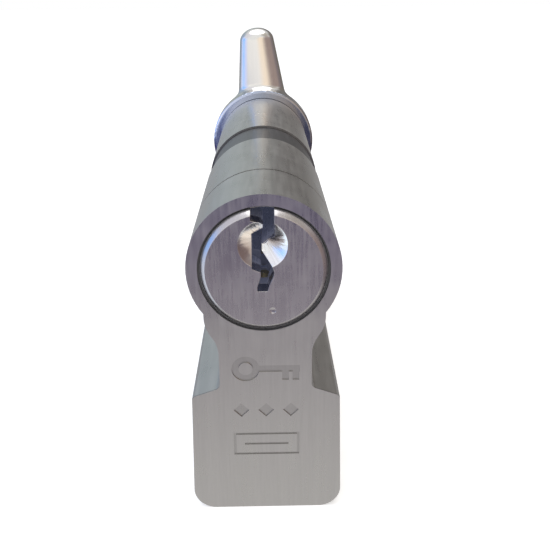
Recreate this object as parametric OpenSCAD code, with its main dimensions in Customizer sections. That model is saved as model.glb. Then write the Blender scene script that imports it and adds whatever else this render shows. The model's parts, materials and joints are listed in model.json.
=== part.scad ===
// Euro profile lock cylinder with a key plug at the front and a thumbturn at the rear.
// The lock axis runs along Y, the key side faces -Y and +Z is up.
// The origin is the centre of the fixing screw hole, under the cam.

/* [Body] */
// Length of the key side, from the fixing screw to the front face
key_side = 35; // [34:0.5:60]
// Length of the turn side, from the fixing screw to the rear face
turn_side = 35; // [30:0.5:60]
// Diameter of the round head
head_d = 17; // [17:0.1:17.4]
// Height of the lock axis above the fixing screw
axis_height = 20.5; // [20:0.1:21.5]
// Half width of the neck between head and foot
neck_half = 5.3; // [5:0.1:5.8]
// Half width where the neck leaves the head
throat_half = 6.8; // [6.4:0.1:7]
// Depth of the foot's underside below the lock axis
foot_depth = 31.7; // [30:0.1:33]
// Half width of the foot at its shoulders
foot_top_half = 8.62; // [8.2:0.01:8.8]
// Half width of the foot near its underside
foot_low_half = 9; // [8.8:0.05:9.4]
// Radius of the foot's lower corners
foot_corner_r = 2.7; // [1:0.1:4]
// Distance from the front face to the snap line
snap_line = 11.05; // [10.8:0.05:11.3]
// Diameter of the fixing screw's tapped hole (M5 core)
screw_core_d = 4.2; // [4:0.1:4.4]

/* [Plug and pins] */
// Diameter of the bores for the plug and the spindle
bore_d = 13; // [12.8:0.1:13.2]
// Diameter of the plug's front flange
flange_d = 14; // [13.8:0.1:14.1]
// How far the plug stands out of the front face
plug_proud = 0.4; // [0.2:0.05:1]
// Number of pin chambers
pin_count = 6; // [1:1:6]
// Distance between pin chambers
pin_pitch = 3.9; // [3.8:0.05:4]
// Distance from the front face to the first pin
first_pin = 5.2; // [5:0.1:5.4]
// Diameter of the pins
pin_d = 2.9; // [2.6:0.05:2.9]
// Height of the key pins' tips above the shear line, one per pin
key_pin_lengths = [4.3, 3.4, 4.2, 3.0, 4.6, 3.7];

/* [Cam] */
// Width of the cam gap in the body
cam_gap = 10; // [9.8:0.1:10.4]
// Radius that the cam's lever reaches
cam_reach = 15.3; // [14:0.1:15.3]
// Outer diameter of the cam's ring
cam_ring_d = 16.4; // [16:0.1:16.6]

/* [Thumbturn] */
// Diameter of the thumbturn's collar
collar_d = 19.9; // [18:0.1:22]
// Height of the lever's tip above the lock axis
lever_reach = 21.4; // [18:0.1:28]
// Width of the lever at its tip
lever_tip_w = 6.1; // [5:0.1:8]
// Width of the lever where it leaves the collar
lever_root_w = 9.4; // [8:0.1:12]
// Resting lean of the lever to the left, in degrees
lever_lean = 4.5; // [0:0.5:10]
// Sideways offset of the lever from the middle of the collar
lever_shift = 0.5; // [0:0.1:1]

/* [Hidden] */
$fn = 64;
play = 0.05;        // radial clearance of every turning or sliding fit
over = 1;           // how far a cutting tool runs past a face
front = -key_side;
rear = turn_side;
gap_half = cam_gap / 2;
head_r = head_d / 2;
bore_r = bore_d / 2;
plug_r = bore_r - play;

// outline of the body's cross-section
blend_r = 4;        // both arcs that lead from the throat to the neck
blend_drop = sqrt(pow(2 * blend_r, 2) - pow(2 * blend_r - throat_half + neck_half, 2));
throat_depth = 5.6;
shoulder_depth = 14.6;
shoulder_slope = 0.36;
shoulder_run = foot_top_half - 0.33 - neck_half;
fillet_r = 0.8;
shoulder_cut = 0.33; // bevel between the shoulders and the foot's sides
shoulder_out = shoulder_depth + shoulder_slope * shoulder_run;
snap_cut = 0.35;    // width and depth of the snap line
snap_low = 4.8;     // how far below the axis the snap line runs down the head
web_top = 16;       // depth of the cam gap's floor below the axis

// flange, chambers and what fills them
flange_len = 2.2;
flange_room = 0.25; // radial gap round the flange's front edge, a thin dark ring
ring_depth = 0.5;   // depth of that gap
edge_cut = 0.6;     // chamfer on the plug's front edge
chamber_r = pin_d / 2 + play;
chamber_top = 0.6;  // top of the chambers inside the plug, above the axis
stopper_r = 1.7;
stopper_len = 5;
stopper_top = stopper_len - foot_depth;
driver_len = 7;
shear = plug_r;     // depth of the shear line below the axis
driver_top = -bore_r;
spring_wire = 0.3;
drill_pin_y = 2.6;
drill_pin_r = 1;
drill_pin_x = 2.7;
drill_pin_top = -9.2;
plug_pin_r = 0.75;
plug_pin_y = 2.95;
plug_pin_z = -2.4;
plug_pin_in = 3;

// parts in the cam gap, each given by its distance from mid-length
clip_near = 4.2;
clip_far = 4.9;
clip_groove_r = 5.9;
clip_r = 7;
lip_end = 3.9;
stub_end = 0.4;
stub_r = 5.4;
hub_bore_r = stub_r + play;
cam_half = 4.7;
cam_lever_half = 4.7;
hub_half = 3.7;
clip_room_r = 7.3;
dog_half_x = 6.5;
dog_half_z = 1;
dog_low = -0.3;
dog_high = 1.9;
dog_slot_end = 3.5;
clutch_r = 2.5;
clutch_low = -3.2;
clutch_high = 3.4;
clutch_bore_r = 2.7;
spring_pocket_end = 9;

// thumbturn, each given by its distance from the rear face
washer_near = 0.05;
washer_far = 0.4;
collar_near = 0.5;
collar_far = 7.6;
collar_edge_r = 0.6;
collar_back_r = 3;
shank_half = 3.8;
shank_far = 6;
lever_near = 3.2;
lever_far = 9.4;
lever_tip_near = 3.7;
lever_tip_far = 8.7;
lever_corner_r = 1.9;
lever_root = 9;     // height above the axis where lever_root_w holds
grub_r = 1.9;
grub_y = 3.6;
grub_tip = 2.9;     // how far below the axis the screw's tip ends
grub_out = 8.8;

function pin_y(i) = front + first_pin + i * pin_pitch;

// Places its children on the lock axis
module on_axis() {
    translate([0, 0, axis_height]) children();
}

// A rod along Y from one place to another, on the lock axis's level
module rod_y(r, from, to, x = 0, z = 0) {
    translate([x, from, z]) rotate([-90, 0, 0]) cylinder(r = r, h = to - from);
}

// A rod along Z
module rod_z(r, from, to, x = 0, y = 0) {
    translate([x, y, from]) cylinder(r = r, h = to - from);
}

// A box given by its lowest and highest corners
module block(low, high) {
    translate(low) cube(high - low);
}

// Extrudes a flat outline, drawn as X and Z, along Y
module along_y(from, to) {
    translate([0, to, 0]) rotate([90, 0, 0]) linear_extrude(to - from) children();
}

// The body's full length: round head, waisted neck, and a foot with sloping shoulders and round corners
module body_bar() {
    neck_start = throat_depth + blend_drop;
    blend_x = (throat_half + neck_half) / 2;
    blend_z = -(throat_depth + neck_start) / 2;
    corner = [foot_low_half - foot_corner_r, foot_corner_r - foot_depth];
    slope_len = sqrt(1 + shoulder_slope * shoulder_slope);
    fillet = [neck_half + fillet_r, -shoulder_depth + fillet_r * (slope_len - shoulder_slope)];
    fillet_end = fillet - fillet_r / slope_len * [shoulder_slope, 1];
    rod_y(head_r, front, rear);
    // throat and neck, joined by two equal arcs on each side
    difference() {
        union() {
            along_y(front, rear)
                polygon([[-throat_half, 0], [throat_half, 0], [throat_half, -throat_depth],
                    [blend_x, blend_z], [neck_half, -neck_start], [neck_half, -shoulder_depth - over],
                    [-neck_half, -shoulder_depth - over], [-neck_half, -neck_start],
                    [-blend_x, blend_z], [-throat_half, -throat_depth]]);
            for (side = [-1, 1])
                rod_y(blend_r, front, rear, side * (throat_half - blend_r), -throat_depth);
        }
        for (side = [-1, 1])
            rod_y(blend_r, front - over, rear + over, side * (neck_half + blend_r), -neck_start);
    }
    // foot
    along_y(front, rear)
        polygon([[-corner[0], -foot_depth], [-corner[0], corner[1]], [-foot_low_half, corner[1]],
            [-foot_top_half, -shoulder_out - shoulder_cut], [shoulder_cut - foot_top_half, -shoulder_out],
            [-neck_half, -shoulder_depth], [neck_half, -shoulder_depth],
            [foot_top_half - shoulder_cut, -shoulder_out], [foot_top_half, -shoulder_out - shoulder_cut],
            [foot_low_half, corner[1]], [corner[0], corner[1]], [corner[0], -foot_depth]]);
    for (side = [-1, 1]) rod_y(foot_corner_r, front, rear, side * corner[0], corner[1]);
    // fillets between neck and shoulders
    for (side = [-1, 1]) difference() {
        along_y(front, rear)
            polygon([[side * (neck_half - over), fillet[1]], [side * neck_half, fillet[1]],
                [side * fillet_end[0], fillet_end[1]], [side * fillet_end[0], -shoulder_depth - over],
                [side * (neck_half - over), -shoulder_depth - over]]);
        rod_y(fillet_r, front - over, rear + over, side * fillet[0], fillet[1]);
    }
}

// Plain engraved marks on the front of the foot: a key, three diamonds and a ruled frame
module face_marks() {
    depth = 0.15;
    line = 0.28;
    bow_r = 1.6;
    blade_half = 0.42;
    key_z = -12.1;
    diamonds_z = -17.6;
    diamond = 1.3;
    frame_half = [3.9, 1.55];
    frame_z = -22.3;
    along_y(front - over, front + depth) {
        translate([-2.3, key_z]) difference() {
            circle(bow_r);
            circle(bow_r / 2);
        }
        translate([bow_r / 2 - 1.7, key_z - blade_half]) square([4.8, 2 * blade_half]);
        for (x = [1.9, 3.1]) translate([x, key_z - 1.5]) square([0.75, 1.3]);
        for (x = [-2.9, 0, 2.9]) translate([x, diamonds_z]) rotate(45) square(diamond, center = true);
        translate([0, frame_z]) difference() {
            square(2 * frame_half, center = true);
            square(2 * frame_half - [2 * line, 2 * line], center = true);
        }
        translate([-2.6, frame_z - line / 2]) square([5.2, line]);
    }
}

module cylinder_body() {
    color([0.60, 0.58, 0.58]) on_axis() difference() {
        body_bar();
        // bores for the plug, its flange and the spindle
        rod_y(bore_r, front - over, rear + over);
        rod_y(flange_d / 2 + play, front - over, front + flange_len + play);
        rod_y(flange_d / 2 + flange_room, front - over, front + ring_depth);
        // cam gap, with a floor level with the foot's shoulders
        block([-foot_low_half - over, -gap_half, -web_top], [foot_low_half + over, gap_half, head_r + over]);
        // pin chambers, each with a wider mouth for its stopper
        for (i = [0:pin_count - 1]) {
            rod_z(chamber_r, -foot_depth - over, 0, y = pin_y(i));
            rod_z(stopper_r, -foot_depth - over, stopper_top, y = pin_y(i));
        }
        for (side = [-1, 1])
            rod_z(drill_pin_r, -foot_depth - over, drill_pin_top, x = side * drill_pin_x, y = front + drill_pin_y);
        // fixing screw hole
        translate([-foot_low_half - over, 0, -axis_height]) rotate([0, 90, 0])
            cylinder(d = screw_core_d, h = 2 * (foot_low_half + over));
        // snap line, a shallow cut round the head
        intersection() {
            difference() {
                rod_y(head_r + over, front + snap_line - snap_cut / 2, front + snap_line + snap_cut / 2);
                rod_y(head_r - snap_cut, front, rear);
            }
            block([-head_r - over, front, -snap_low], [head_r + over, rear, head_r + over]);
        }
        face_marks();
    }
}

module body_drill_pins() {
    color([0.45, 0.46, 0.48]) on_axis()
        for (side = [-1, 1])
            rod_z(drill_pin_r, -foot_depth, drill_pin_top, x = side * drill_pin_x, y = front + drill_pin_y);
}

module chamber_plugs() {
    color([0.72, 0.62, 0.38]) on_axis()
        for (i = [0:pin_count - 1]) rod_z(stopper_r, -foot_depth, stopper_top, y = pin_y(i));
}

module turn_washer() {
    color([0.85, 0.85, 0.82]) on_axis() difference() {
        rod_y(head_r - 0.3, rear + washer_near, rear + washer_far);
        rod_y(bore_r + 0.1, rear, rear + collar_near);
    }
}

// The keyway as the key sees it: a slot open at the top, with two wards from the left and two from the right
module keyway() {
    polygon([[-1.35, bore_r + over], [-1.35, 5.7], [-0.45, 5.5], [-0.05, 5.15], [-0.05, 4.6], [-0.6, 4.2],
        [-1.3, 3.9], [-1.3, 0.3], [-0.35, -0.1], [-0.35, -0.6], [-0.75, -1.75], [-0.75, -2.3],
        [0.35, -2.3], [0.55, -1.65], [1, -0.6], [1.1, -0.1], [0.95, 0.45], [-0.25, 1.9], [-0.25, 2.4],
        [1.15, 3.6], [1.15, bore_r + over]]);
}

module key_plug() {
    guide_r = 2.7;
    guide_x = -0.1;
    guide_z = 3;
    guide_depth = 2.1;
    dot_r = 0.35;
    proud = front - plug_proud;
    color([0.58, 0.55, 0.57]) on_axis() difference() {
        union() {
            // chamfered face, flange, barrel, lip and the stub that carries the cam
            translate([0, proud, 0]) rotate([-90, 0, 0])
                cylinder(r1 = flange_d / 2 - edge_cut, r2 = flange_d / 2, h = edge_cut);
            rod_y(flange_d / 2, proud + edge_cut, front + flange_len);
            rod_y(plug_r, front + flange_len - over, -clip_far);
            rod_y(clip_groove_r, -clip_far - over, -clip_near);
            rod_y(plug_r, -clip_near, -lip_end);
            rod_y(stub_r, -lip_end - over, -stub_end);
        }
        along_y(proud - over, -lip_end - over) keyway();
        rod_y(clutch_bore_r, -lip_end - 2 * over, 0);
        // countersunk key guide and a small index dot
        translate([guide_x, proud - 0.01, guide_z]) rotate([-90, 0, 0])
            cylinder(r1 = guide_r, r2 = guide_r - guide_depth, h = guide_depth);
        rod_y(dot_r, proud - over, proud + 0.15, x = 0.9, z = -4.6);
        for (i = [0:pin_count - 1]) rod_z(chamber_r, -bore_r - over, chamber_top, y = pin_y(i));
        for (side = [-1, 1])
            translate([side * plug_pin_in, front + plug_pin_y, plug_pin_z]) rotate([0, side * 90, 0])
                cylinder(r = plug_pin_r, h = bore_r);
    }
}

module plug_drill_pins() {
    color([0.45, 0.46, 0.48]) on_axis() intersection() {
        for (side = [-1, 1])
            translate([side * plug_pin_in, front + plug_pin_y, plug_pin_z]) rotate([0, side * 90, 0])
                cylinder(r = plug_pin_r, h = bore_r);
        rod_y(plug_r, front + plug_pin_y - over, front + plug_pin_y + over);
    }
}

// A retaining ring with a gap at its foot, between two distances along Y
module circlip(from, to) {
    opening = 60;
    translate([0, from, 0]) rotate([-90, 0, 0]) rotate(90 + opening / 2)
        rotate_extrude(angle = 360 - opening)
            translate([clip_groove_r + play, 0]) square([clip_r - clip_groove_r - play, to - from]);
}

module plug_circlip() {
    color([0.35, 0.36, 0.38]) on_axis() circlip(-clip_far, -clip_near);
}

module spindle_circlip() {
    color([0.35, 0.36, 0.38]) on_axis() circlip(clip_near, clip_far);
}

// A key pin with a cone tip, from the shear line up into the keyway
module key_pin(i) {
    r = chamber_r - play;
    cone = 0.9;
    length = key_pin_lengths[i];
    color([0.78, 0.66, 0.38]) on_axis() translate([0, pin_y(i), -shear]) intersection() {
        union() {
            cylinder(r = r, h = length - cone);
            translate([0, 0, length - cone]) cylinder(r1 = r, r2 = 0.5, h = cone);
        }
        // the lower end follows the plug's round surface
        translate([0, 0, shear]) rod_y(plug_r, -over - r, over + r);
    }
}

// A driver pin with a waist, hanging below the shear line
module driver_pin(i) {
    r = chamber_r - play;
    waist = r - 0.35;
    color([0.66, 0.67, 0.70]) on_axis() translate([0, pin_y(i), driver_top - driver_len]) difference() {
        cylinder(r = r, h = driver_len - 0.1);
        translate([0, 0, 2.4]) difference() {
            cylinder(r = r + over, h = 1.8);
            translate([0, 0, -over]) cylinder(r = waist, h = 1.8 + 2 * over);
        }
    }
}

// A coil of round wire that stands on z = 0 between its two ends
module coil(mean_r, wire_d, length, turns) {
    sides = 6;
    steps = 12;
    rings = turns * steps;
    rise = (length - wire_d) / rings;
    points = [for (k = [0:rings], s = [0:sides - 1])
        let (turn = 360 * k / steps, round = 360 * s / sides, r = mean_r + wire_d / 2 * cos(round))
        [r * cos(turn), r * sin(turn), wire_d / 2 + rise * k + wire_d / 2 * sin(round)]];
    walls = [for (k = [0:rings - 1], s = [0:sides - 1])
        let (a = k * sides + s, b = k * sides + (s + 1) % sides)
        [a, a + sides, b + sides, b]];
    first = [[for (s = [0:sides - 1]) s]];
    last = [[for (s = [0:sides - 1]) rings * sides + sides - 1 - s]];
    polyhedron(points, concat(walls, first, last), convexity = 10);
}

module pin_spring(i) {
    end_gap = 0.02;
    room = driver_top - driver_len - stopper_top;
    color([0.50, 0.51, 0.54]) on_axis() translate([0, pin_y(i), stopper_top + end_gap])
        coil(chamber_r - 0.2 - spring_wire / 2, spring_wire, room - 2 * end_gap, 7);
}

module cam() {
    color([0.33, 0.34, 0.36]) on_axis() difference() {
        union() {
            rod_y(cam_ring_d / 2, -cam_half, cam_half);
            intersection() {
                block([-cam_lever_half, -cam_half, -cam_reach], [cam_lever_half, cam_half, 0]);
                rod_y(cam_reach, -cam_half, cam_half);
            }
        }
        rod_y(hub_bore_r, -cam_half - over, cam_half + over);
        for (end = [[-cam_half - over, -hub_half], [hub_half, cam_half + over]])
            rod_y(clip_room_r, end[0], end[1]);
        // grooves in which the clutch's dogs slide
        block([-dog_half_x - 0.1, -hub_half - over, -dog_half_z - play],
            [dog_half_x + 0.1, hub_half + over, dog_half_z + play]);
    }
}

module clutch() {
    tip_slot = 0.7;
    color([0.62, 0.60, 0.56]) on_axis() difference() {
        union() {
            rod_y(clutch_r, clutch_low, clutch_high);
            intersection() {
                block([-dog_half_x, dog_low, -dog_half_z], [dog_half_x, dog_high, dog_half_z]);
                rod_y(dog_half_x, dog_low, dog_high);
            }
        }
        block([-clutch_r - over, clutch_low - over, -tip_slot], [clutch_r + over, clutch_low + 1.5, tip_slot]);
    }
}

module clutch_spring() {
    end_gap = 0.02;
    color([0.50, 0.51, 0.54]) on_axis() translate([0, clutch_high + end_gap, 0]) rotate([-90, 0, 0])
        coil(clutch_bore_r - 0.45, spring_wire, spring_pocket_end - clutch_high - 2 * end_gap, 4);
}

module turn_spindle() {
    color([0.66, 0.63, 0.55]) on_axis() difference() {
        union() {
            rod_y(stub_r, stub_end, lip_end + over);
            rod_y(plug_r, lip_end, clip_near);
            rod_y(clip_groove_r, clip_near, clip_far + over);
            rod_y(plug_r, clip_far, rear + washer_far);
            rotate([0, -lever_lean, 0])
                block([-shank_half, rear, -shank_half], [shank_half, rear + shank_far, shank_half]);
        }
        rod_y(clutch_bore_r, stub_end - over, spring_pocket_end);
        block([-bore_r - over, stub_end - over, -dog_half_z - play],
            [bore_r + over, dog_slot_end, dog_half_z + play]);
        rotate([0, -lever_lean, 0]) translate([0, rear + grub_y, -shank_half - over])
            cylinder(r = grub_r, h = shank_half + over - grub_tip);
    }
}

// The collar's half outline as radius and distance from the rear face
module collar_outline() {
    r = collar_d / 2;
    translate([0, collar_near]) square([r - collar_edge_r, collar_far - collar_near]);
    translate([0, collar_near + collar_edge_r])
        square([r, collar_far - collar_near - collar_edge_r - collar_back_r]);
    translate([r - collar_edge_r, collar_near + collar_edge_r]) circle(collar_edge_r);
    translate([r - collar_back_r, collar_far - collar_back_r]) circle(collar_back_r);
}

// The lever seen from the front: tapered, with a nearly square, rounded tip
module lever_front() {
    tip_half = lever_tip_w / 2;
    polygon([[-lever_root_w / 2, 0], [lever_root_w / 2, 0], [lever_root_w / 2, lever_root],
        [tip_half, lever_reach - lever_corner_r], [-tip_half, lever_reach - lever_corner_r],
        [-lever_root_w / 2, lever_root]]);
    for (side = [-1, 1])
        translate([side * (tip_half - lever_corner_r), lever_reach - lever_corner_r]) circle(lever_corner_r);
    translate([lever_corner_r - tip_half, lever_root])
        square([lever_tip_w - 2 * lever_corner_r, lever_reach - lever_root]);
}

module thumbturn() {
    color([0.70, 0.68, 0.66]) on_axis() rotate([0, -lever_lean, 0]) difference() {
        union() {
            translate([0, rear, 0]) rotate([-90, 0, 0]) rotate_extrude() collar_outline();
            intersection() {
                translate([lever_shift, 0, 0]) {
                    along_y(rear + lever_near, rear + lever_far) lever_front();
                    rod_y(lever_root_w / 2, rear + lever_near, rear + lever_far);
                }
                // seen from the side, the lever thins a little towards its tip
                translate([-collar_d / 2, rear, 0]) rotate([90, 0, 90]) linear_extrude(collar_d)
                    polygon([[lever_near, -lever_root_w], [lever_far, -lever_root_w], [lever_far, lever_root],
                        [lever_tip_far, lever_reach + over], [lever_tip_near, lever_reach + over],
                        [lever_near, lever_root]]);
            }
        }
        block([-shank_half - play, rear, -shank_half - play],
            [shank_half + play, rear + shank_far + play, shank_half + play]);
        rod_y(plug_r + play, rear, rear + collar_near + play);
        translate([0, rear + grub_y, -collar_d]) cylinder(r = grub_r, h = collar_d);
    }
}

module turn_grub_screw() {
    socket_r = 1;
    color([0.25, 0.25, 0.27]) on_axis() rotate([0, -lever_lean, 0])
        translate([0, rear + grub_y, -grub_out]) difference() {
            cylinder(r = grub_r - play, h = grub_out - grub_tip);
            translate([0, 0, -over]) cylinder(r = socket_r, h = 1.6 + over, $fn = 6);
        }
}

cylinder_body();
body_drill_pins();
chamber_plugs();
turn_washer();
key_plug();
plug_drill_pins();
plug_circlip();
key_pin(0);  // key_pin_1
key_pin(1);  // key_pin_2
key_pin(2);  // key_pin_3
key_pin(3);  // key_pin_4
key_pin(4);  // key_pin_5
key_pin(5);  // key_pin_6
driver_pin(0);  // driver_pin_1
driver_pin(1);  // driver_pin_2
driver_pin(2);  // driver_pin_3
driver_pin(3);  // driver_pin_4
driver_pin(4);  // driver_pin_5
driver_pin(5);  // driver_pin_6
pin_spring(0);  // pin_spring_1
pin_spring(1);  // pin_spring_2
pin_spring(2);  // pin_spring_3
pin_spring(3);  // pin_spring_4
pin_spring(4);  // pin_spring_5
pin_spring(5);  // pin_spring_6
cam();
clutch();
clutch_spring();
turn_spindle();
spindle_circlip();
thumbturn();
turn_grub_screw();
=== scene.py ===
"""Euro cylinder with a key plug and a thumbturn: looks, light and camera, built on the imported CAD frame."""

import json
import math
from itertools import product

import bmesh
import bpy
import numpy as np
from mathutils import Matrix, Vector


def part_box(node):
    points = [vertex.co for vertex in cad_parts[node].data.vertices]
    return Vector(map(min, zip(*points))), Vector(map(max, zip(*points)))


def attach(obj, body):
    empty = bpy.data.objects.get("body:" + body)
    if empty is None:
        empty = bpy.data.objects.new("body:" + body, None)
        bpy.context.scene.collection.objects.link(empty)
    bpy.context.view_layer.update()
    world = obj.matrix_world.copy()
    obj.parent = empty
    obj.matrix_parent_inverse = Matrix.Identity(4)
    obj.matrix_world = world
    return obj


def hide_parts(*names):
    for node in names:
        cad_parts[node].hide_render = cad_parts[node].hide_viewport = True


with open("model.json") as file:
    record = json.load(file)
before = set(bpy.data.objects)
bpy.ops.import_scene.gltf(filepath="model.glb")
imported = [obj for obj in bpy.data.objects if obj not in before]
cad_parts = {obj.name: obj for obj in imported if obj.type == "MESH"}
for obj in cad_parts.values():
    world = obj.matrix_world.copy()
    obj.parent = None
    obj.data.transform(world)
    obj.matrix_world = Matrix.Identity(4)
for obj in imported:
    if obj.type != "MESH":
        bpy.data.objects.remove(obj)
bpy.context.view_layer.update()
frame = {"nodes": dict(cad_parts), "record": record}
nodes = frame["nodes"]

MM = 0.001


# ---------------------------------------------------------------- places and sizes

body_low, body_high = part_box("cylinder_body")
HEAD_R = 8.5 * MM
AXIS_Z = body_high.z - HEAD_R
FRONT_Y = body_low.y
REAR_Y = body_high.y
FLOOR_Z = body_low.z

# the thumbturn, in millimetres; distances along Y count from the body's rear face
LEAN = 4.5                      # degrees that the lever leans to the left
SHIFT = 0.5                     # sideways offset of the lever
COLLAR_R = 9.95
COLLAR_NEAR, COLLAR_FAR = 0.5, 7.6
COLLAR_EDGE_R, COLLAR_BACK_R = 0.25, 3.0
LEVER_ROOT, LEVER_TIP = 9.0, 21.4
LEVER_HALF = (4.7, 3.05)        # half width at the root and at the tip
LEVER_NEAR = (3.2, 4.2)         # front at the root and at the tip
LEVER_FAR = (9.4, 8.7)          # back at the root and at the tip
LEVER_DOME = 2.2                # height of the rounded tip
LEVER_SQUARENESS = 2.1
FILLET = 1.0                    # between lever and collar
SHANK_HALF, SHANK_FAR = 3.85, 6.05
GRUB_R, GRUB_Y = 1.9, 3.6
MESH_STEP = 0.25

# the body and the plug, in millimetres; heights count from the lock axis
CAM_GAP_HALF, CAM_GAP_FLOOR = 5.0, -16.0
FLANGE_GAP = (6.9, 7.28)        # radii of the gap round the plug's flange
PLUG_PROUD = 0.4                # how far the plug stands out of the front face
GUIDE_X, GUIDE_Z, GUIDE_R = -0.1, 3.0, 2.7
KEYWAY_R = 6.2
KEYWAY_GLOW_DEPTHS = (1.72, 1.95)      # depths behind the front face where the keyway's painted light begins
MARKS_TOP = -8.5                # the engraved marks lie below this height
FRONT_REFLECTION_HEIGHTS = (-7.0, 3.0)       # heights between which the front face gets a painted reflection, darker and violet

WHITE = (1.0, 1.0, 1.0, 1.0)
BLACK = (0.0, 0.0, 0.0, 1.0)
# painted shade: colour and roughness of the dark coat in the gap round the plug's flange
GAP_SHADE_COLOUR = (0.13, 0.13, 0.14, 1.0)
GAP_SHADE_ROUGHNESS = 0.8


# ---------------------------------------------------------------- node tree helpers

class Tree:
    """Short names for building a shader node tree."""

    def __init__(self, tree):
        self.tree = tree
        self.tree.nodes.clear()

    def add(self, kind, inputs=None, **settings):
        node = self.tree.nodes.new(kind)
        for key, value in settings.items():
            setattr(node, key, value)
        for key, value in (inputs or {}).items():
            if isinstance(value, bpy.types.NodeSocket):
                self.tree.links.new(value, node.inputs[key])
            else:
                node.inputs[key].default_value = value
        return node

    def math(self, operation, a, b=0.0):
        return self.add("ShaderNodeMath", {0: a, 1: b}, operation=operation).outputs[0]

    def times(self, a, b):
        return self.math("MULTIPLY", a, b)

    def length(self, a, b):
        return self.math("SQRT", self.math("ADD", self.times(a, a), self.times(b, b)))

    def object_place(self):
        return self.add("ShaderNodeTexCoord").outputs["Object"]

    def split(self, vector):
        return self.add("ShaderNodeSeparateXYZ", {0: vector}).outputs

    def ramp(self, fac, stops):
        node = self.add("ShaderNodeValToRGB", {0: fac})
        points = node.color_ramp.elements
        while len(points) < len(stops):
            points.new(0.5)
        for point, (place, colour) in zip(points, stops):
            point.position = place
            point.color = (*colour, 1.0)
        return node.outputs[0]

    def map_range(self, value, low, high, to_low, to_high, smooth=False):
        return self.add("ShaderNodeMapRange", {0: value, 1: low, 2: high, 3: to_low, 4: to_high},
                        interpolation_type="SMOOTHSTEP" if smooth else "LINEAR").outputs[0]

    def noise(self, place, factors, detail=3.0, roughness=0.5):
        """Noise with its own scale along each axis."""
        stretched = self.add("ShaderNodeVectorMath", {0: place, 1: factors}, operation="MULTIPLY").outputs[0]
        return self.add("ShaderNodeTexNoise", {"Vector": stretched, "Scale": 1.0, "Detail": detail,
                                               "Roughness": roughness}).outputs["Fac"]

    def mix(self, share, a, b, blend="MIX"):
        """Colour a blended with colour b."""
        return self.add("ShaderNodeMix", {0: share, 6: a, 7: b},
                        data_type="RGBA", blend_type=blend).outputs[2]

    def tinted(self, a, b):
        """Colour a multiplied by colour b."""
        return self.mix(1.0, a, b, "MULTIPLY")

    def mix_value(self, share, a, b):
        return self.add("ShaderNodeMix", {0: share, 2: a, 3: b}, data_type="FLOAT").outputs[0]

    def output(self, settings):
        shader = self.add("ShaderNodeBsdfPrincipled", settings)
        self.add("ShaderNodeOutputMaterial", {0: shader.outputs[0]})


def grey(value):
    return (value, value, value)


def scaled(colour, factor):
    return tuple(min(1.0, part * factor) for part in colour)


# ---------------------------------------------------------------- materials

def place_on_axis(t):
    """A place's x, its y, its height above the lock axis and its distance from the axis."""
    x, y, z = t.split(t.object_place())
    up = t.math("SUBTRACT", z, AXIS_Z)
    return x, y, up, t.length(x, up)


def rising(t, value, low, high, smooth=False):
    """0 below low and 1 above high, both in millimetres."""
    return t.map_range(value, low * MM, high * MM, 0.0, 1.0, smooth)


def falling(t, value, low, high):
    """1 below low and 0 above high, both in millimetres."""
    return t.map_range(value, low * MM, high * MM, 1.0, 0.0)


def flange_gap_shade(t, depth, radius):
    """Painted shade: a dark, dull, non-metal coat on the walls of the narrow gap round the plug's flange."""
    inner, outer = FLANGE_GAP
    in_gap = t.times(rising(t, radius, inner, inner + 0.03), falling(t, radius, outer - 0.02, outer))
    return t.times(in_gap, rising(t, depth, 0.05, 0.10))


def body_finish(t, worn, rough):
    """Painted shade round the plug, beside the cam and in the engraved marks, and a painted violet reflection
    on the upper front.
    """
    _, y, up, radius = place_on_axis(t)
    depth = t.math("SUBTRACT", y, FRONT_Y)
    # painted shade in the gap round the plug's flange
    painted_gap_shade = flange_gap_shade(t, depth, radius)
    # painted shade: the walls beside the cam's gap are painted dark grey, where shadow falls
    off_wall = t.math("ABSOLUTE", t.math("SUBTRACT", t.math("ABSOLUTE", y), CAM_GAP_HALF * MM))
    cam_wall_shade = t.times(falling(t, off_wall, 0.02, 0.05),
                       rising(t, up, CAM_GAP_FLOOR, CAM_GAP_FLOOR + 0.05))
    # painted shade, by depth in millimetres: the marks' dark walls, then their slightly darker floors
    engraved_shade = t.ramp(t.math("DIVIDE", depth, MM), [
        (0.015, grey(1.0)), (0.03, grey(0.5)), (0.12, grey(0.5)),
        (0.14, grey(0.86)), (0.2, grey(0.86)), (0.25, grey(1.0))])
    shade = t.mix(falling(t, up, MARKS_TOP - 0.5, MARKS_TOP), worn, t.tinted(worn, engraved_shade))
    shade = t.mix(cam_wall_shade, shade, (0.22, 0.22, 0.23, 1.0))
    # painted reflection: the upper part of the front face is darker and violet
    upper_front_reflection = t.times(falling(t, depth, 0.02, 0.04), rising(t, up, *FRONT_REFLECTION_HEIGHTS, True))
    shade = t.tinted(shade, t.mix(upper_front_reflection, WHITE, (0.79, 0.77, 0.88, 1.0)))
    return {"Base Color": t.mix(painted_gap_shade, shade, GAP_SHADE_COLOUR),
            "Metallic": t.math("SUBTRACT", 1.0, painted_gap_shade),
            "Roughness": t.math("MAXIMUM", rough, t.times(painted_gap_shade, GAP_SHADE_ROUGHNESS))}


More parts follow.
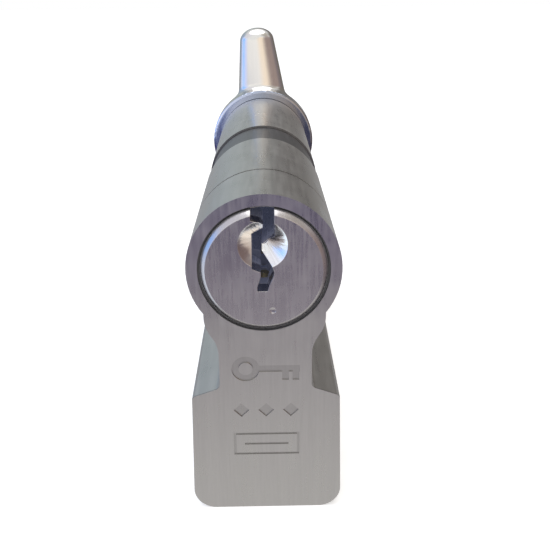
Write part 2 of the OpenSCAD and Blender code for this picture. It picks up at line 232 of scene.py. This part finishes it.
def plug_finish(t, worn, rough):
    """A polished key guide with cutter chatter, painted light deep in the keyway and painted shade in the
    gap.
    """
    x, y, up, radius = place_on_axis(t)
    depth = t.math("SUBTRACT", y, FRONT_Y)
    # painted shade in the gap round the plug's flange
    painted_gap_shade = flange_gap_shade(t, depth, radius)
    across = t.math("SUBTRACT", x, GUIDE_X * MM)
    above = t.math("SUBTRACT", up, GUIDE_Z * MM)
    inward = t.math("SUBTRACT", y, FRONT_Y - PLUG_PROUD * MM)
    # the guide is a cone whose radius shrinks as fast as it goes in
    off_cone = t.math("ABSOLUTE", t.math("SUBTRACT", t.math("ADD", t.length(across, above), inward),
                                         GUIDE_R * MM))
    on_cone = t.times(falling(t, off_cone, 0.03, 0.06), rising(t, inward, 0.01, 0.03))
    facets = t.add("ShaderNodeTexNoise", {"W": t.math("ARCTAN2", above, across), "Scale": 5.0,
                                          "Detail": 2.0}, noise_dimensions="1D").outputs["Fac"]
    chatter = t.ramp(facets, [(0.35, (0.84, 0.85, 0.86)), (0.6, (0.97, 0.98, 1.0))])
    # painted shade: the guide cone is darker and browner to the lower left, where its reflection dims
    lower_left_shade = t.times(falling(t, t.math("ADD", t.times(across, 0.5), above), -1.6, 0.3),
                         falling(t, across, -0.8, 0.4))
    cone = t.mix(lower_left_shade, chatter, (0.42, 0.38, 0.39, 1.0))
    # painted light: deep in the keyway the metal turns into a navy non-metal coat with a faint glow of its
    # own
    keyway_glow = t.times(falling(t, radius, KEYWAY_R - 0.2, KEYWAY_R),
                        rising(t, depth, *KEYWAY_GLOW_DEPTHS, True))
    shade = t.mix(keyway_glow, t.mix(on_cone, worn, cone), (0.40, 0.42, 0.54, 1.0))
    polish = t.map_range(on_cone, 0.0, 1.0, 1.0, 0.75)
    return {"Base Color": t.mix(painted_gap_shade, shade, GAP_SHADE_COLOUR),
            "Metallic": t.math("SUBTRACT", 1.0, t.math("MAXIMUM", keyway_glow, painted_gap_shade)),
            "Roughness": t.math("MAXIMUM", t.times(rough, polish), t.times(painted_gap_shade, GAP_SHADE_ROUGHNESS)),
            "Emission Color": t.mix(keyway_glow, BLACK, (0.017, 0.019, 0.027, 1.0)),
            "Emission Strength": 1.0}


def turn_finish(t, worn, _):
    """The collar's turned front face carries a painted reflection: bluer to the left, darker to the right."""
    x, y, _, _ = place_on_axis(t)
    ring = falling(t, t.math("SUBTRACT", y, REAR_Y), COLLAR_NEAR + 0.12, COLLAR_NEAR + 0.35)
    ring_reflection = t.ramp(rising(t, x, -10.0, 10.0), [
        (0.05, (0.66, 0.72, 0.92)), (0.5, (0.38, 0.43, 0.55)), (0.8, (0.28, 0.28, 0.31))])
    return {"Base Color": t.mix(ring, worn, ring_reflection)}


def new_material(name):
    material = bpy.data.materials.new(name)
    material.use_nodes = True
    return material, Tree(material.node_tree)


def metal(name, colour, roughness, tint=0.035, streak=0.03, finish=None):
    """Satin metal: fine grain along Y on its sides and upright on its ends, with streaks and marks."""
    marks = 0.04
    material, t = new_material(name)
    place = t.object_place()
    facing_y = t.math("ABSOLUTE", t.split(t.add("ShaderNodeTexCoord").outputs["Normal"])["Y"])
    on_end = t.map_range(facing_y, 0.6, 0.8, 0.0, 1.0)
    grain = t.mix_value(on_end, t.noise(place, (1700.0, 110.0, 1700.0), 1.0),
                        t.noise(place, (3800.0, 900.0, 240.0)))
    streaks = t.mix_value(on_end, t.noise(place, (1100.0, 25.0, 1100.0)),
                          t.noise(place, (1500.0, 300.0, 60.0)))
    blotches = t.noise(place, (260.0, 260.0, 260.0), 4.0, 0.6)
    shade = t.ramp(grain, [(0.3, scaled(colour, 1.0 - tint)), (0.7, scaled(colour, 1.0 + tint))])
    shade = t.tinted(shade, t.ramp(streaks, [(0.35, grey(1.0 - streak)), (0.65, grey(1.0))]))
    worn = t.tinted(shade, t.ramp(blotches, [(0.35, grey(1.0 - marks)), (0.65, grey(1.0))]))
    rough = t.math("ADD", t.map_range(grain, 0.3, 0.7, roughness - 0.04, roughness + 0.04),
                   t.map_range(blotches, 0.35, 0.7, -0.03, 0.05))
    settings = {"Base Color": worn, "Metallic": 1.0, "Roughness": rough}
    if finish:
        settings.update(finish(t, worn, rough))
    t.output(settings)
    return material


def plastic(name, colour, roughness=0.5, glow=0.0):
    """Moulded plastic with a faint orange peel."""
    material, t = new_material(name)
    place = t.object_place()
    peel = t.noise(place, (1800.0, 1800.0, 1800.0), 2.0)
    cloud = t.noise(place, (300.0, 300.0, 300.0))
    raised = t.add("ShaderNodeBump", {"Strength": 0.1, "Distance": 0.00003, "Height": peel})
    t.output({"Base Color": t.ramp(cloud, [(0.3, scaled(colour, 0.95)), (0.7, colour)]),
              "Roughness": roughness, "Normal": raised.outputs[0],
              "Emission Color": WHITE, "Emission Strength": glow})
    return material


SLOT_MATERIALS = {
    "nickel_body": metal("nickel_body", (0.62, 0.61, 0.60), 0.31, finish=body_finish),
    "nickel_plug": metal("nickel_plug", (0.60, 0.58, 0.60), 0.27, finish=plug_finish),
    "turn_chrome": metal("turn_chrome", (0.78, 0.77, 0.76), 0.15, tint=0.02, streak=0.02,
                         finish=turn_finish),
    "hard_steel": metal("hard_steel", (0.42, 0.43, 0.45), 0.3),
    "sintered_steel": metal("sintered_steel", (0.21, 0.21, 0.225), 0.38),
    "brass": metal("brass", (0.74, 0.60, 0.32), 0.3),
    "spring_steel": metal("spring_steel", (0.45, 0.46, 0.48), 0.3),
    "black_steel": metal("black_steel", (0.06, 0.06, 0.065), 0.45),
    "washer_plastic": plastic("washer_plastic", (0.75, 0.75, 0.72)),
}
for part in frame["record"]["subparts"]:
    part_data = nodes[part["node"]].data
    part_data.materials.clear()
    part_data.materials.append(SLOT_MATERIALS[part["material_slot"]])


# ---------------------------------------------------------------- broken edges on the turned and milled parts

def soften(node_name, width):
    """Rounds a CAD node's sharp edges by a width in millimetres, as tumbling and plating leave them."""
    piece = nodes[node_name]
    weld = piece.modifiers.new("weld", "WELD")
    weld.merge_threshold = 1e-7
    merge = piece.modifiers.new("merge", "DECIMATE")
    merge.decimate_type = "DISSOLVE"
    merge.angle_limit = math.radians(1)
    rounding = piece.modifiers.new("rounding", "BEVEL")
    rounding.width = width * MM
    rounding.segments = 2
    rounding.limit_method = "ANGLE"
    rounding.angle_limit = math.radians(25)
    rounding.use_clamp_overlap = False
    rounding.miter_outer = "MITER_ARC"
    shading = piece.modifiers.new("shading", "WEIGHTED_NORMAL")
    shading.weight = 100
    shading.keep_sharp = False


for node_name, width in (("key_plug", 0.04), ("cam", 0.12), ("turn_spindle", 0.1), ("clutch", 0.08)):
    soften(node_name, width)


# ---------------------------------------------------------------- the thumbturn's shape

def smooth_union(a, b, blend):
    """Distance to two shapes joined by a fillet about as wide as blend."""
    share = np.clip(0.5 + 0.5 * (b - a) / blend, 0.0, 1.0)
    return b + (a - b) * share - blend * share * (1.0 - share)


def collar_distance(x, y, z):
    """Distance to the round collar, with a small rounding in front and a larger one behind."""
    along = y - (COLLAR_NEAR + COLLAR_FAR) / 2
    corner = np.where(along < 0.0, COLLAR_EDGE_R, COLLAR_BACK_R)
    out = np.hypot(x, z) - COLLAR_R + corner
    past = np.abs(along) - (COLLAR_FAR - COLLAR_NEAR) / 2 + corner
    beyond = np.hypot(np.maximum(out, 0.0), np.maximum(past, 0.0))
    return beyond + np.minimum(np.maximum(out, past), 0.0) - corner


def lever_distance(x, y, z):
    """About the distance to the lever: oval, tapered upwards, with a domed tip and a round root."""
    rise = np.clip((z - LEVER_ROOT) / (LEVER_TIP - LEVER_ROOT), 0.0, 1.0)
    half_w, near, far = (root + (tip - root) * rise
                         for root, tip in (LEVER_HALF, LEVER_NEAR, LEVER_FAR))
    half_t = (far - near) / 2
    across = np.where(z > 0.0, np.abs(x - SHIFT), np.hypot(x - SHIFT, z)) / half_w
    deep = np.abs(y - (near + far) / 2) / half_t
    top = np.maximum(z - LEVER_TIP + LEVER_DOME, 0.0) / LEVER_DOME
    n = LEVER_SQUARENESS
    reach = (across ** n + deep ** n + top ** n) ** (1.0 / n)
    return (reach - 1.0) * np.minimum(half_w, half_t)


def thumbturn_distance(x, y, z):
    return smooth_union(collar_distance(x, y, z), lever_distance(x, y, z), FILLET)


def surface_net(distance, low, high, step):
    """Points and quads of the closed surface where distance is 0, a point in each grid cell it crosses."""
    axes = [np.arange(start, stop + step, step) for start, stop in zip(low, high)]
    inside = distance(*np.meshgrid(*axes, indexing="ij")) < 0.0
    # how many of each cell's eight corners are inside
    corners = sum(inside[tuple(slice(k, k - 1 or None) for k in corner)].astype(int)
                  for corner in product((0, 1), repeat=3))
    crossed = (corners > 0) & (corners < 8)
    number = np.full(crossed.shape, -1)
    number[crossed] = np.arange(crossed.sum())
    points = np.array(low) + (np.argwhere(crossed) + 0.5) * step
    quads = []
    for axis in range(3):
        order = (axis, (axis + 1) % 3, (axis + 2) % 3)
        full = inside.transpose(order)
        cells = number.transpose(order)
        i, j, k = np.nonzero(full[:-1, 1:-1, 1:-1] != full[1:, 1:-1, 1:-1])
        ring = np.stack([cells[i, j, k], cells[i, j + 1, k],
                         cells[i, j + 1, k + 1], cells[i, j, k + 1]], 1)
        ends_inside = ~full[i, j + 1, k + 1]
        ring[ends_inside] = ring[ends_inside][:, ::-1]
        quads.append(ring)
    return points, np.concatenate(quads)


def settle(points, quads, distance, step, rounds=4):
    """Evens the points out along the surface and puts each of them exactly on it."""
    reach = step * 0.02
    nudges = np.eye(3) * reach
    edges = np.concatenate([quads[:, [a, b]] for a, b in ((0, 1), (1, 2), (2, 3), (3, 0))])
    counts = np.bincount(edges[:, 0], minlength=len(points))[:, None]
    for _ in range(rounds):
        sums = np.zeros_like(points)
        np.add.at(sums, edges[:, 0], points[edges[:, 1]])
        points = (points + sums / counts) / 2
        for _ in range(3):
            slope = np.stack([(distance(*(points + nudge).T) - distance(*(points - nudge).T)) / (2 * reach)
                              for nudge in nudges], 1)
            points = points - distance(*points.T)[:, None] * slope / (slope ** 2).sum(1)[:, None]
    return points


def cut_away(piece, cutters):
    """Cuts the cutters out of the piece for good."""
    for cutter in cutters:
        step = piece.modifiers.new("cut", "BOOLEAN")
        step.operation = "DIFFERENCE"
        step.solver = "EXACT"
        step.object = cutter
    bpy.context.view_layer.update()
    result = bpy.data.meshes.new_from_object(piece.evaluated_get(bpy.context.evaluated_depsgraph_get()))
    piece.modifiers.clear()
    piece.data = result
    for cutter in cutters:
        bpy.data.objects.remove(cutter)


def add_object(name, data):
    piece = bpy.data.objects.new(name, data)
    bpy.context.scene.collection.objects.link(piece)
    return piece


def mesh_object(name, points, faces):
    data = bpy.data.meshes.new(name)
    data.from_pydata([tuple(p) for p in points], [], [tuple(f) for f in faces])
    data.update()
    return add_object(name, data)


def bmesh_object(name, fill):
    """An object whose mesh fill() makes."""
    data = bpy.data.meshes.new(name)
    shape = bmesh.new()
    fill(shape)
    shape.to_mesh(data)
    shape.free()
    return add_object(name, data)


def build_thumbturn():
    """Collar and lever as one smooth casting, with the shank's socket and the grub screw's hole."""
    margin = 1.0
    low = (-COLLAR_R - margin, COLLAR_NEAR - margin, -COLLAR_R - margin)
    high = (COLLAR_R + margin, max(LEVER_FAR) + margin, LEVER_TIP + margin)
    points, quads = surface_net(thumbturn_distance, low, high, MESH_STEP)
    points = settle(points, quads, thumbturn_distance, MESH_STEP)
    piece = mesh_object("thumbturn_casting", points * MM, quads.tolist())
    socket_place = Matrix.Translation(Vector((0.0, (SHANK_FAR - margin) / 2, 0.0)) * MM)
    socket_size = (2 * SHANK_HALF * MM, (SHANK_FAR + margin) * MM, 2 * SHANK_HALF * MM, 1.0)
    socket = bmesh_object("socket", lambda shape: bmesh.ops.create_cube(
        shape, matrix=socket_place @ Matrix.Diagonal(socket_size)))
    hole_place = Matrix.Translation(Vector((0.0, GRUB_Y, -COLLAR_R / 2 - margin)) * MM)
    hole = bmesh_object("hole", lambda shape: bmesh.ops.create_cone(
        shape, cap_ends=True, segments=64, radius1=GRUB_R * MM, radius2=GRUB_R * MM,
        depth=COLLAR_R * MM, matrix=hole_place))
    cut_away(piece, [socket, hole])
    place = Matrix.Translation((0.0, REAR_Y, AXIS_Z)) @ Matrix.Rotation(math.radians(-LEAN), 4, "Y")
    piece.data.transform(place)
    piece.data.shade_smooth()
    piece.data.set_sharp_from_angle(angle=math.radians(40))
    piece.data.materials.clear()
    piece.data.materials.append(SLOT_MATERIALS["turn_chrome"])
    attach(piece, "turn")
    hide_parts("thumbturn")


build_thumbturn()


# ---------------------------------------------------------------- stage, light and camera

def lobe(t, direction, aim, inner, outer):
    """A soft cone round aim: 1 within inner degrees of it, 0 beyond outer degrees."""
    towards = t.add("ShaderNodeVectorMath", {0: direction, 1: Vector(aim).normalized()},
                    operation="DOT_PRODUCT").outputs["Value"]
    cos_outer, cos_inner = (math.cos(math.radians(angle)) for angle in (outer, inner))
    return t.map_range(towards, cos_outer, cos_inner, 0.0, 1.0, True)


# what the metal mirrors in front of it, by height from straight down (0) to straight up (1)
FRONT_STOPS = [
    (0.0, (0.70, 0.69, 0.665)), (0.232, (0.70, 0.69, 0.665)), (0.258, (0.50, 0.47, 0.50)),
    (0.289, (0.37, 0.335, 0.37)), (0.321, (0.22, 0.18, 0.25)), (0.371, (0.05, 0.04, 0.11)),
    (0.41, (0.06, 0.06, 0.15)), (0.435, (0.34, 0.40, 0.56)), (0.47, (0.50, 0.54, 0.66)),
    (0.50, (1.05, 1.03, 1.0)), (0.55, (1.15, 1.12, 1.08)), (0.62, (1.0, 1.0, 0.98)),
    (1.0, (1.0, 1.0, 0.98))]
# what it mirrors behind it above the horizon, from far left (0) to far right (1)
BACK_STOPS = [
    (0.0, (0.40, 0.55, 0.80)), (0.25, (0.40, 0.46, 0.52)), (0.38, (0.55, 0.61, 0.62)),
    (0.49, (0.35, 0.37, 0.355)), (0.56, (0.235, 0.225, 0.22)), (0.68, (0.22, 0.21, 0.20)),
    (1.0, (0.26, 0.22, 0.19))]
# soft patches of light and dark: direction, inner and outer half angle in degrees, colour
LOBES = [
    ((-1.0, -0.15, 0.12), 12, 36, (0.80, 0.90, 1.3)),
    ((-0.98, -0.12, 0.17), 3, 20, (0.42, 0.78, 1.5)),
    ((0.36, -0.91, 0.20), 3, 27, (1.20, 1.02, 0.82)),
    ((-0.85, 0.0, -0.5), 16, 34, (1.0, 1.1, 1.2)),
    ((-0.64, -0.27, 0.71), 10, 28, (0.88, 0.87, 0.92)),
    ((0.53, -0.29, 0.79), 12, 30, (0.58, 0.54, 0.48)),
    ((0.98, -0.05, -0.15), 15, 42, (0.25, 0.21, 0.22)),
    ((0.80, -0.50, 0.10), 6, 40, (0.40, 0.31, 0.28)),
    ((0.45, 0.25, -0.86), 12, 30, (0.75, 0.72, 0.70)),
]


def build_world():
    """A soft studio round the object: pale above, a cool window to the left, a warm wall to the right."""
    world = bpy.data.worlds.new("studio")
    bpy.context.scene.world = world
    world.use_nodes = True
    t = Tree(world.node_tree)
    direction = t.add("ShaderNodeTexCoord").outputs["Generated"]
    x, y, z = t.split(direction)
    front = t.ramp(t.map_range(z, -1.0, 1.0, 0.0, 1.0), FRONT_STOPS)
    back = t.ramp(t.map_range(x, -1.0, 1.0, 0.0, 1.0), BACK_STOPS)
    near_horizon = t.map_range(z, 0.08, 0.35, 0.80, 1.0)
    back = t.add("ShaderNodeVectorMath", {0: back, "Scale": near_horizon}, operation="SCALE").outputs[0]
    back = t.mix(t.map_range(z, -0.10, 0.02, 1.0, 0.0, True), back, (0.42, 0.42, 0.42, 1.0))
    raised_back = t.mix(t.map_range(z, 0.55, 0.9, 0.0, 1.0, True), back, (0.95, 0.95, 0.94, 1.0))
    total = t.mix(t.map_range(y, -0.25, 0.25, 0.0, 1.0, True), front, raised_back)
    for aim, inner, outer, colour in LOBES:
        total = t.mix(lobe(t, direction, aim, inner, outer), total, (*colour, 1.0))
    shown = t.mix(t.add("ShaderNodeLightPath").outputs["Is Camera Ray"], total, WHITE)
    background = t.add("ShaderNodeBackground", {"Color": shown, "Strength": 1.0})
    t.add("ShaderNodeOutputWorld", {0: background.outputs[0]})


def build_floor():
    """A faintly glowing white floor that the metal does not mirror."""
    floor = bmesh_object("floor", lambda shape: bmesh.ops.create_grid(
        shape, x_segments=1, y_segments=1, size=3.0))
    floor.location.z = FLOOR_Z
    floor.data.materials.append(plastic("floor_white", grey(0.9), 0.9, glow=0.45))
    floor.visible_glossy = False


def build_overhead():
    """A wide, weak lamp straight above, facing down."""
    light = bpy.data.lights.new("overhead", "AREA")
    light.shape = "DISK"
    light.size = 0.6
    light.energy = 1.3
    add_object("overhead", light).location.z = 0.6


def build_camera():
    """In front of the key side and above it, looking down along the lock axis; angles in radians."""
    pitch, roll, yaw = -0.3854, 0.0093, -0.0133
    place = Vector((0.25 * MM, FRONT_Y - 69.76 * MM, AXIS_Z + 27.76 * MM))
    camera = bpy.data.cameras.new("camera")
    camera.sensor_width = 36.0
    camera.lens = 45.54
    camera.clip_start = 0.005
    turn = (Matrix.Rotation(yaw, 4, "Z") @ Matrix.Rotation(pitch, 4, "X") @ Matrix.Rotation(roll, 4, "Y")
            @ Matrix.Rotation(math.pi / 2, 4, "X"))
    eye = add_object("camera", camera)
    eye.matrix_world = Matrix.Translation(place) @ turn
    bpy.context.scene.camera = eye


build_world()
build_floor()
build_overhead()
build_camera()
bpy.context.scene.view_settings.view_transform = "Standard"
